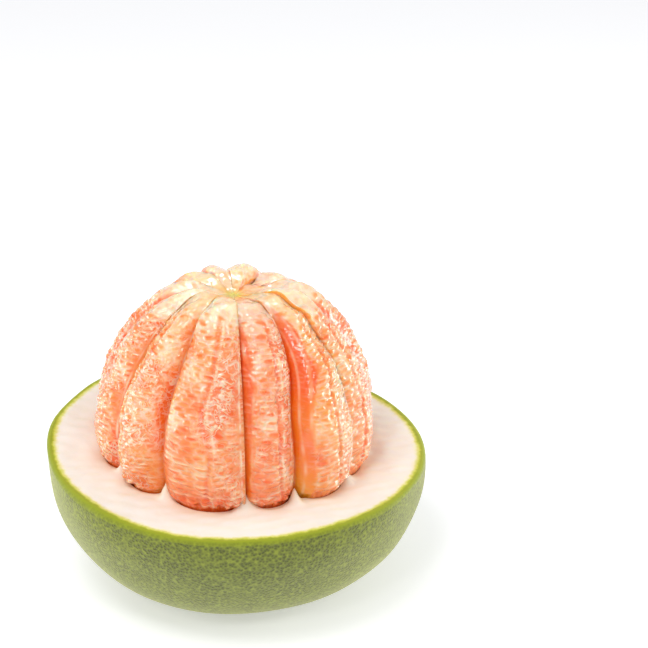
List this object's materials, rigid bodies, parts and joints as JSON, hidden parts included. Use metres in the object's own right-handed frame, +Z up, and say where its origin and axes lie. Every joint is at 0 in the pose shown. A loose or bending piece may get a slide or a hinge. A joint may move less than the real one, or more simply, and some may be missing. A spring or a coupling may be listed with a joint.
{
  "type": "half-peeled pomelo",
  "caption": "Pomelo with its upper rind removed: a peeled ball of pink juicy segments standing in a level-cut bowl of thick white pith and green skin.",
  "frame": {"origin": "centre of the fruit's footprint, on the surface that it rests on, under the fruit's own axis", "axes": "+Z up along the fruit's axis, from the base of the rind to the crown where the segments meet; -Y towards the front, +X to the right; the cut rim is lower at +X than at -X, and twists a little"},
  "size_m": [0.15, 0.15, 0.1249],
  "materials": {
    "rind": "waxy green citrus skin with fine oil-gland pits over thick, soft, cream-white pith",
    "pulp": "wet, translucent pink-orange juice sacs"
  },
  "bodies": {
    "root": {"rind": "rind", "segment_01": "pulp", "segment_02": "pulp", "segment_03": "pulp", "segment_04": "pulp", "segment_05": "pulp", "segment_06": "pulp", "segment_07": "pulp", "segment_08": "pulp", "segment_09": "pulp", "segment_10": "pulp", "segment_11": "pulp", "segment_12": "pulp"}
  },
  "joints": []
}
